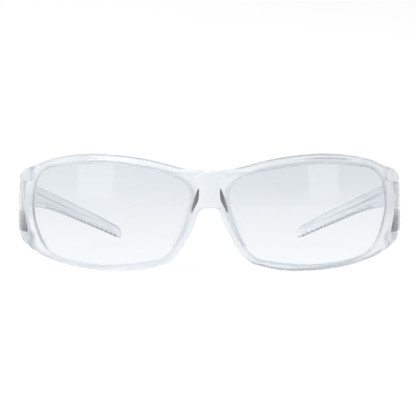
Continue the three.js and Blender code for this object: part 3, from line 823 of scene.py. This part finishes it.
def frost_root(material, start, end, frosted, clear):
    """Frosted root that turns into a clear arm between two depths."""
    tree = material.node_tree
    share = depth_share(tree, start, end)
    share.inputs["To Min"].default_value = frosted
    share.inputs["To Max"].default_value = clear
    tree.links.new(share.outputs["Result"], tree.nodes["Principled BSDF"].inputs["Roughness"])


def tint_through(material, colour, density):
    """Darkens the plastic with the distance light travels inside it."""
    tree = material.node_tree
    absorption = tree.nodes.new("ShaderNodeVolumeAbsorption")
    absorption.inputs["Color"].default_value = (*colour, 1)
    absorption.inputs["Density"].default_value = density
    output = next(node for node in tree.nodes if node.type == "OUTPUT_MATERIAL")
    tree.links.new(absorption.outputs["Volume"], output.inputs["Volume"])


SATIN_SKIN = (0.12, 0.22)        # roughness of a coat, from smoothest to dullest
BRIGHT_SKIN = (0.03, 0.07)
COAT_IOR = 1.7


def clear_plastic(name, stops, roughness, ior, waviness, polish=None, transmission=1):
    """Clear plastic with a colour over its height, a faint tint or painted shade as its stops give,
    and a glossy coat if polish is given.
    """
    material, tree, shader = node_material(name)
    shader.inputs["Transmission Weight"].default_value = transmission
    shader.inputs["Roughness"].default_value = roughness
    shader.inputs["IOR"].default_value = ior
    if polish:
        shader.inputs["Coat Weight"].default_value = 1
        shader.inputs["Coat IOR"].default_value = COAT_IOR
    height_ramp(tree, shader, stops)
    add_waviness(tree, shader, *waviness, polish)
    return material


# Tints, and painted shade where marked, as (height in mm, colour).
FRAME_TINT = [(0, (0.95, 0.978, 1.0)), (22, (0.945, 0.975, 1.0)), (40, (0.94, 0.972, 1.0))]
ARM_TINT = [(0, (0.95, 0.968, 0.985)), (40, (0.943, 0.965, 0.983))]
# the ribbed underside's dark colour is painted shade for the dark refraction along the arms' lower
# edge
UNDERSIDE_PAINTED_SHADE = [(0, (0.12, 0.13, 0.14)), (40, (0.2, 0.21, 0.22))]
# side shields: their grey is painted shade for the darker refraction through the thick plate
SHIELD_PAINTED_SHADE = [(12, (0.64, 0.66, 0.68)), (22, (0.66, 0.68, 0.70))]
# lens: a faint blue tint of its own; the darkening towards the brow is painted shade for the darker
# backdrop seen through it
LENS_TINT_AND_PAINTED_SHADE = [(2, (0.905, 0.932, 0.955)), (18, (0.822, 0.855, 0.885)), (38, (0.722, 0.757, 0.792))]
PAD_TINT = [(5, (0.97, 0.98, 0.99)), (30, (0.95, 0.965, 0.98))]
# the tongues' dark front is painted shade for the dark refraction marks beside the bridge
TONGUE_PAINTED_SHADE = (0.045, 0.047, 0.05)
DEPTH_TINT = (0.845, 0.862, 0.88)
FRAME_DENSITY = 120


def make_frame_plastic():
    """Satin clear plastic that darkens where it is thick."""
    material = clear_plastic(
        "clear_frame_plastic", FRAME_TINT, roughness=0.31, ior=1.3, waviness=(60, 0.04),
        polish=SATIN_SKIN, transmission=0.9,
    )
    tint_through(material, DEPTH_TINT, FRAME_DENSITY)
    return material


def make_temple_plastic():
    """Clear plastic, frosted at the root."""
    material = clear_plastic(
        "clear_temple_plastic", ARM_TINT, roughness=0.34, ior=1.19, waviness=(60, 0.03),
        polish=BRIGHT_SKIN, transmission=0.8,
    )
    frost_root(material, 34, 46, 0.42, 0.32)
    return material


def make_underside_shade_plastic():
    """Dark plastic of the arms' ribbed underside: painted shade for the dark refraction along the
    arms' lower edge.
    """
    return clear_plastic(
        "ribbed_underside_painted_shade", UNDERSIDE_PAINTED_SHADE, roughness=0.3, ior=1.35, waviness=(90, 0.1),
        polish=BRIGHT_SKIN, transmission=0.7,
    )


def make_shield_plastic():
    """Duller clear plastic of the side shields, greyed with painted shade for the darker refraction
    through the thick plate.
    """
    return clear_plastic(
        "clear_shield_plastic", SHIELD_PAINTED_SHADE, roughness=0.45, ior=1.4, waviness=(90, 0.1),
        polish=SATIN_SKIN, transmission=0.9,
    )


def make_lens_plastic():
    """Optically clear lens plastic, faintly blue, with painted shade darkening it towards the brow for
    the darker backdrop seen through it.
    """
    return clear_plastic("hard_coated_lens", LENS_TINT_AND_PAINTED_SHADE, roughness=0, ior=1.5, waviness=(14, 0.01))


def make_pad_silicone():
    """Soft clear silicone, with painted shade on the front of the pads' tongues."""
    material = clear_plastic(
        "soft_clear_silicone", PAD_TINT, roughness=0.32, ior=1.2, waviness=(400, 0.1),
        polish=SATIN_SKIN,
    )
    paint_shade_in_front(material, 4.6, 5.2, TONGUE_PAINTED_SHADE)
    return material


def make_pin_plastic():
    """Clear plastic of the hinge pins."""
    return clear_plastic(
        "clear_pin_plastic", FRAME_TINT, roughness=0.3, ior=1.4, waviness=(200, 0.1),
        polish=SATIN_SKIN,
    )


# ---- Pieces onto the frame --------------------------------------------------------------
def fit(obj, materials, body, slot, *nodes):
    """Gives a piece its materials and body, in place of CAD nodes. The slot is not used.
    The list isn't cleared first, because that would reset the faces' material numbers."""
    slots = obj.data.materials
    while len(slots) > len(materials):
        slots.pop()
    while len(slots) < len(materials):
        slots.append(None)
    for place, material in enumerate(materials):
        slots[place] = material
    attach(obj, body)
    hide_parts(*nodes)


def fit_pair(left, name, materials, bodies, slot):
    """Fits a left piece and its mirror image."""
    right = mirror_copy(left, f"right_{name}_fine")
    shade_smooth(right)
    left.name = f"left_{name}_fine"
    fit(left, materials, bodies[0], slot, f"left_{name}")
    fit(right, materials, bodies[1], slot, f"right_{name}")


FRONT = ("front", "front")
TEMPLES = ("left_temple", "right_temple")
PINS = [("upper_hinge_pin", 27.5, 36.6), ("lower_hinge_pin", 10.2, 19.2)]    # name, lowest, highest

temple_plastics = [make_temple_plastic(), make_underside_shade_plastic()]
pin_plastic = make_pin_plastic()
fit(make_front_frame(), [make_frame_plastic()], "front", "clear_frame", "front_frame")
fit_pair(make_lens(), "lens", [make_lens_plastic()], FRONT, "clear_lens")
fit_pair(make_nose_pad(), "nose_pad", [make_pad_silicone()], FRONT, "soft_clear_pad")
fit_pair(make_temple(), "temple", temple_plastics, TEMPLES, "clear_temple")
fit_pair(make_side_shield(), "side_shield", [make_shield_plastic()], TEMPLES, "clear_shield")
for pin, low, high in PINS:
    made = peg(pin, PIN_RADIUS, low, high)
    shade_smooth(made)
    fit_pair(made, pin, [pin_plastic], FRONT, "hinge_pin")


# ---- Stage ------------------------------------------------------------------------------
FLOOR_SIZE = 3                   # metres
FLOOR_GAP = 0.0002
FLOOR_GLOW = 0.9                 # share of the floor's own light in its look
HORIZON_LEVEL = 1.03             # brightness of the horizon and the floor
FRONT_LEVELS = (1.0, 0.36)       # brightness of the surroundings' front, at its left and right
REAR_LEVELS = (1.05, 0.6)


def make_floor():
    """Plain pale floor that keeps only a hint of shadow."""
    bpy.ops.mesh.primitive_plane_add(size=FLOOR_SIZE, location=(0, 0, -FLOOR_GAP))
    floor = bpy.context.object
    floor.name = "floor"
    material, tree, shader = node_material("pale_floor")
    shader.inputs["Base Color"].default_value = (0.95, 0.95, 0.95, 1)
    shader.inputs["Roughness"].default_value = 1
    shader.inputs["Specular IOR Level"].default_value = 0
    glow = tree.nodes.new("ShaderNodeEmission")
    glow.inputs["Strength"].default_value = HORIZON_LEVEL
    mix = tree.nodes.new("ShaderNodeMixShader")
    mix.inputs["Fac"].default_value = FLOOR_GLOW
    tree.links.new(shader.outputs[0], mix.inputs[1])
    tree.links.new(glow.outputs[0], mix.inputs[2])
    tree.links.new(mix.outputs[0], tree.nodes["Material Output"].inputs["Surface"])
    floor.data.materials.append(material)


def map_range(tree, value, low, high):
    """Smooth step of a socket's value from 0 at low to 1 at high."""
    node = tree.nodes.new("ShaderNodeMapRange")
    node.interpolation_type = "SMOOTHSTEP"
    node.inputs["From Min"].default_value = low
    node.inputs["From Max"].default_value = high
    tree.links.new(value, node.inputs["Value"])
    return node.outputs["Result"]


def mix_colours(tree, factor, first, second):
    """Blend of two colours, each a socket or a grey level."""
    node = tree.nodes.new("ShaderNodeMix")
    node.data_type = "RGBA"
    tree.links.new(factor, node.inputs["Factor"])
    for name, colour in (("A", first), ("B", second)):
        if isinstance(colour, (int, float)):
            node.inputs[name].default_value = (colour, colour, colour, 1)
        else:
            tree.links.new(colour, node.inputs[name])
    return node.outputs["Result"]


def make_world():
    """White surroundings: darker overhead, and to the right in front of the glasses."""
    world = bpy.data.worlds.new("studio")
    bpy.context.scene.world = world
    world.use_nodes = True
    tree = world.node_tree
    back = tree.nodes["Background"]
    coords = tree.nodes.new("ShaderNodeTexCoord")
    split = tree.nodes.new("ShaderNodeSeparateXYZ")
    tree.links.new(coords.outputs["Generated"], split.inputs[0])
    to_right = map_range(tree, split.outputs["X"], -0.7, 0.7)
    to_rear = map_range(tree, split.outputs["Y"], -0.3, 0.5)
    front = mix_colours(tree, to_right, *FRONT_LEVELS)
    front = mix_colours(tree, map_range(tree, split.outputs["Z"], -0.12, 0.12), HORIZON_LEVEL, front)
    rear = mix_colours(tree, to_right, *REAR_LEVELS)
    rear = mix_colours(tree, map_range(tree, split.outputs["Z"], 0.03, 0.4), HORIZON_LEVEL, rear)
    tree.links.new(mix_colours(tree, to_rear, front, rear), back.inputs["Color"])


def aim(obj, target):
    """Turns an object's -Z axis towards a point."""
    obj.rotation_euler = (Vector(target) - obj.location).to_track_quat("-Z", "Y").to_euler()


SOFTBOX_DISTANCE = 3.0           # metres
SOFTBOX_FADE = 0.12              # share of a softbox's height over which it fades out
# Name, azimuth and elevation in degrees, width and height in metres, power in watts.
SOFTBOXES = [
    ("top_softbox", -40, 62, (2.4, 1.6), 48),
    ("left_softbox", -52, 23, (0.95, 2.7), 6),
    ("right_softbox", 52, 23, (0.8, 2.7), 5.5),
]


def fade_light(data):
    """Lets a softbox fade out towards its lower edge."""
    data.use_nodes = True
    tree = data.node_tree
    emission = tree.nodes["Emission"]
    place = tree.nodes.new("ShaderNodeNewGeometry")
    split = tree.nodes.new("ShaderNodeSeparateXYZ")
    fade = tree.nodes.new("ShaderNodeMapRange")
    fade.interpolation_type = "SMOOTHSTEP"
    fade.inputs["From Max"].default_value = SOFTBOX_FADE
    tree.links.new(place.outputs["Parametric"], split.inputs[0])
    tree.links.new(split.outputs["Y"], fade.inputs["Value"])
    tree.links.new(fade.outputs["Result"], emission.inputs["Strength"])


def add_softbox(name, azimuth, elevation, size, power, target):
    """Area light on a sphere round the glasses: azimuth 0 is at the camera."""
    data = bpy.data.lights.new(name, "AREA")
    data.shape = "RECTANGLE"
    data.size, data.size_y = size
    data.energy = power
    fade_light(data)
    light = bpy.data.objects.new(name, data)
    bpy.context.scene.collection.objects.link(light)
    turn, rise = math.radians(azimuth), math.radians(elevation)
    level = math.cos(rise)
    offset = Vector((math.sin(turn) * level, -math.cos(turn) * level, math.sin(rise)))
    light.location = Vector(target) + offset * SOFTBOX_DISTANCE
    aim(light, target)


def make_camera(target, distance, elevation, focal):
    """Camera in front of the glasses, slightly above them."""
    data = bpy.data.cameras.new("camera")
    data.lens = focal
    data.sensor_width = 36
    data.clip_start = 0.01
    camera = bpy.data.objects.new("camera", data)
    bpy.context.scene.collection.objects.link(camera)
    rise = math.radians(elevation)
    camera.location = Vector(target) + Vector((0, -math.cos(rise), math.sin(rise))) * distance
    aim(camera, target)
    bpy.context.scene.camera = camera


CAMERA_TARGET = (-0.00054, DEPTH_SHIFT * MM, 0.0235)
LIGHT_BOUNCES = 32               # enough for light to leave plastic seen through plastic
GLOSS_BOUNCES = 24

make_floor()
make_world()
for softbox in SOFTBOXES:
    add_softbox(*softbox, CAMERA_TARGET)
make_camera(CAMERA_TARGET, distance=0.4, elevation=2.5, focal=96.4)
bpy.context.scene.view_settings.view_transform = "Standard"
cycles = bpy.context.scene.cycles
cycles.max_bounces = LIGHT_BOUNCES
cycles.transmission_bounces = LIGHT_BOUNCES
cycles.glossy_bounces = GLOSS_BOUNCES
